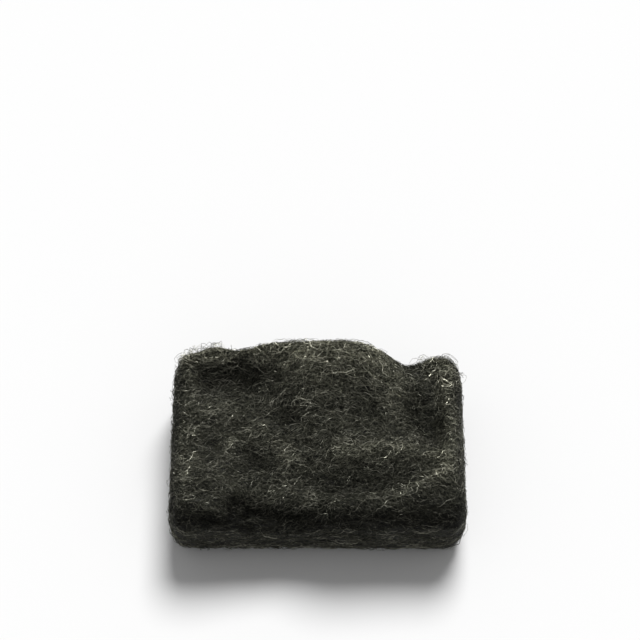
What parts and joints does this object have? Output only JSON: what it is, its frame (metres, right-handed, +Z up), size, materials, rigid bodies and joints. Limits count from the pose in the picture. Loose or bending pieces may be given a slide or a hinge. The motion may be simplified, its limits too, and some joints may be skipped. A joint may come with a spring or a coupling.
{
  "type": "steel wool bundle",
  "caption": "Loose bundle of tangled steel wool pressed into a rectangular block, with a folded, mounded top; for scouring, polishing or plugging gaps.",
  "frame": {"origin": "middle of the flat underside", "axes": "+X to the right along the longest side, +Y to the rear where the mound is, +Z up"},
  "size_m": [0.2488, 0.1548, 0.1125],
  "materials": {
    "steel_fibre": "dull dark oiled steel fibre with a few bright strands"
  },
  "bodies": {
    "root": {"steel_wool_bundle": "steel_fibre"}
  },
  "joints": []
}
